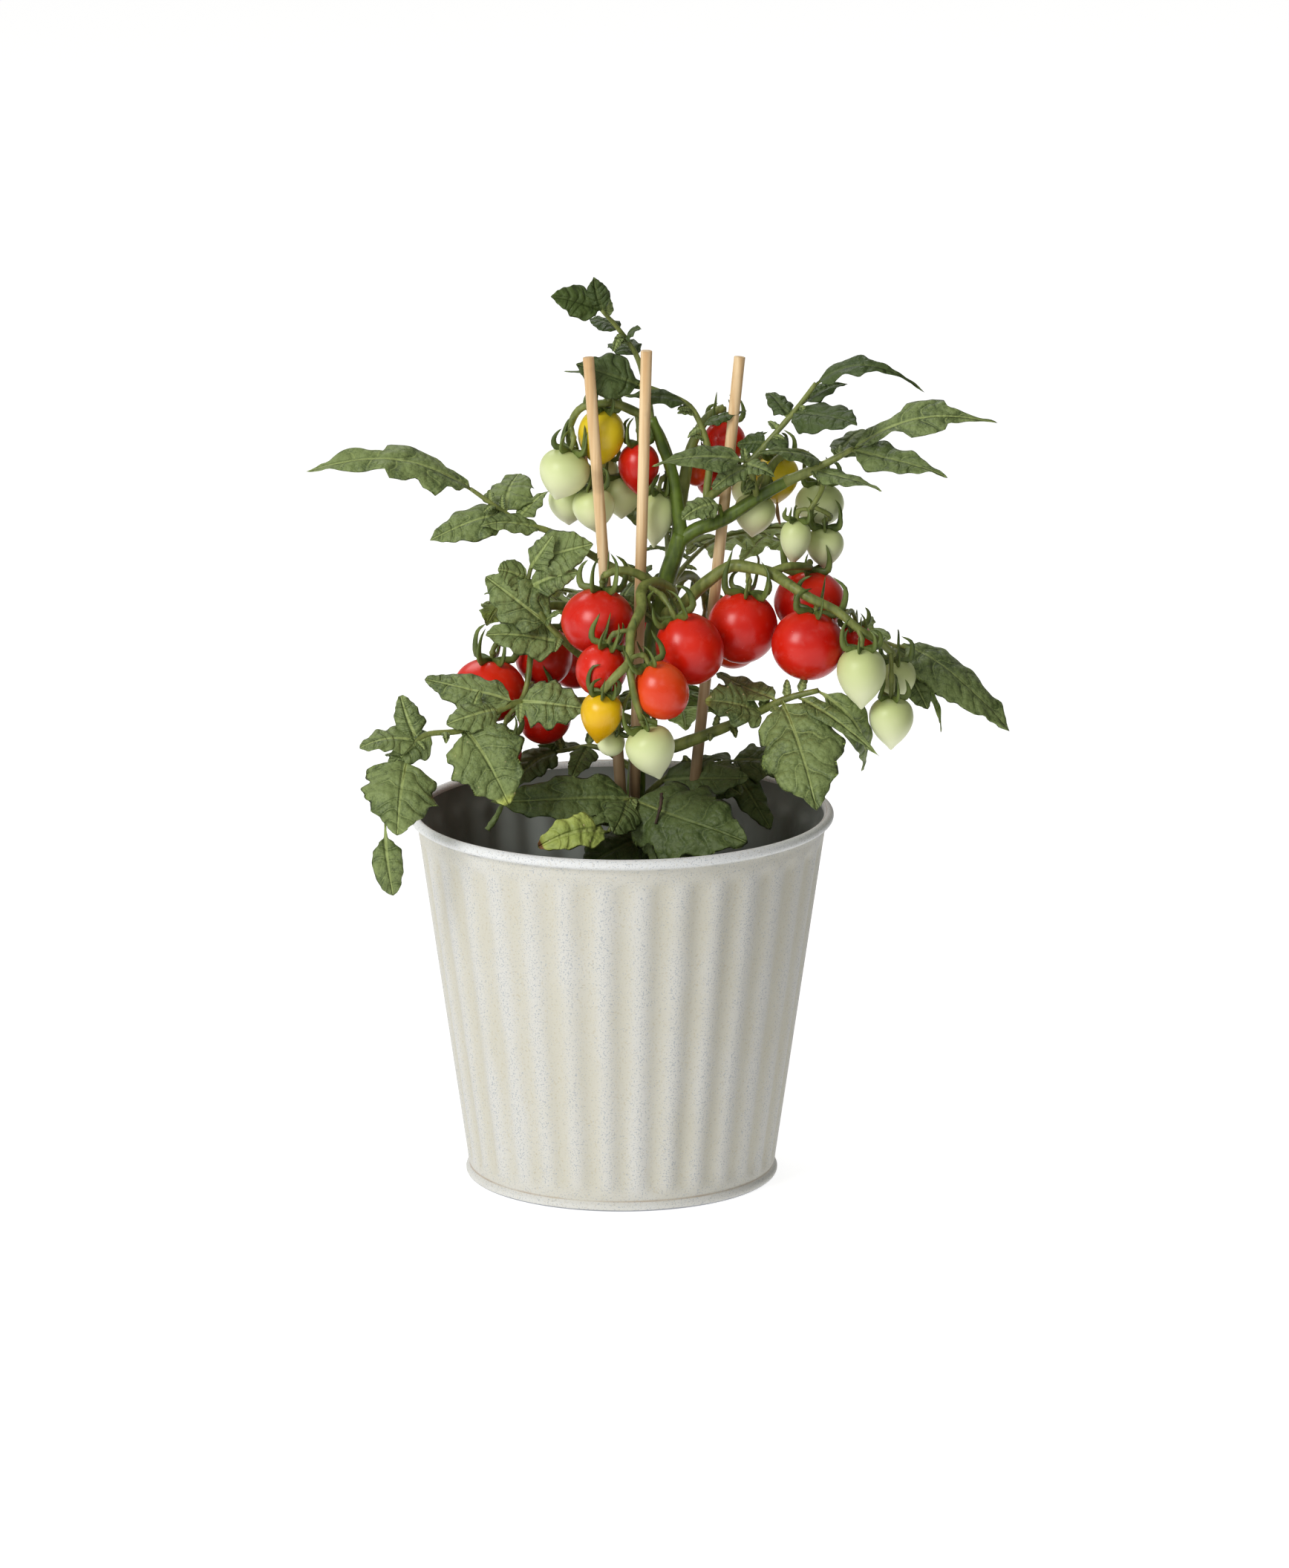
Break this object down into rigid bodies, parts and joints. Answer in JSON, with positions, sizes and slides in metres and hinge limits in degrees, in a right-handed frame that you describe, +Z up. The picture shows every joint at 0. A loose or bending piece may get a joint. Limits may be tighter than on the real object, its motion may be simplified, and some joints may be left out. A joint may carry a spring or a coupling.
{
  "type": "potted tomato plant",
  "caption": "Bush tomato plant with trusses of ripe and unripe tomatoes, held up by thin wooden canes in a fluted off-white metal pot with a rolled rim.",
  "frame": {"origin": "centre of the pot's flat underside", "axes": "+Z up along the pot's axis, -Y towards the plant's front, +X to the right seen from the front"},
  "size_m": [0.2802, 0.1851, 0.365],
  "materials": {
    "pot_paint": "matt off-white paint, worn to blue-grey and tan specks on the flutes and beads, dark satin inside",
    "soil": "crumbly dark peat-based potting mix",
    "cane_wood": "unvarnished pale wood with a fine straight grain, browner near the soil",
    "green_stem": "satin light green with fine pale hairs",
    "leaf_green": "matt dark green, blistered between lighter veins, paler below",
    "red_skin": "glossy smooth ripe skin",
    "orange_skin": "glossy smooth skin",
    "yellow_skin": "glossy smooth skin",
    "unripe_skin": "satin pale green skin, lighter at the lower end"
  },
  "bodies": {
    "root": {"cane_left": "cane_wood", "cane_middle": "cane_wood", "cane_right": "cane_wood", "leaf_back_left": "leaf_green", "leaf_back_low": "leaf_green", "leaf_back_right": "leaf_green", "leaf_back_top": "leaf_green", "leaf_centre": "leaf_green", "leaf_front_left": "leaf_green", "leaf_front_right": "leaf_green", "leaf_low_front": "leaf_green", "leaf_low_left": "leaf_green", "leaf_low_right": "leaf_green", "leaf_middle_left": "leaf_green", "leaf_right": "leaf_green", "leaf_top": "leaf_green", "leaf_upper_left": "leaf_green", "leaf_upper_right": "leaf_green", "main_stem": "green_stem", "pot": "pot_paint", "potting_soil": "soil", "shoot_top": "leaf_green", "tomato_back_1": "red_skin", "tomato_back_2": "orange_skin", "tomato_front_1": "red_skin", "tomato_front_2": "red_skin", "tomato_front_3": "orange_skin", "tomato_front_4": "red_skin", "tomato_front_5": "yellow_skin", "tomato_front_7": "unripe_skin", "tomato_left_1": "red_skin", "tomato_left_2": "red_skin", "tomato_left_3": "red_skin", "tomato_left_4": "red_skin", "tomato_left_5": "red_skin", "tomato_right_1": "red_skin", "tomato_right_2": "red_skin", "tomato_right_3": "red_skin", "tomato_right_4": "unripe_skin", "tomato_right_6": "unripe_skin", "tomato_right_7": "red_skin", "tomato_top_1": "red_skin", "tomato_top_2": "orange_skin", "tomato_top_3": "red_skin", "tomato_upper_left_1": "yellow_skin", "tomato_upper_left_2": "red_skin", "tomato_upper_left_3": "unripe_skin", "tomato_upper_left_5": "unripe_skin", "tomato_upper_left_7": "unripe_skin", "tomato_upper_right_1": "yellow_skin", "tomato_upper_right_3": "unripe_skin", "tomato_upper_right_4": "unripe_skin", "tomato_upper_right_5": "unripe_skin", "tomato_upper_right_6": "unripe_skin", "truss_back": "green_stem", "truss_front": "green_stem", "truss_left": "green_stem", "truss_right": "green_stem", "truss_upper_left": "green_stem", "truss_upper_right": "green_stem"}
  },
  "joints": []
}
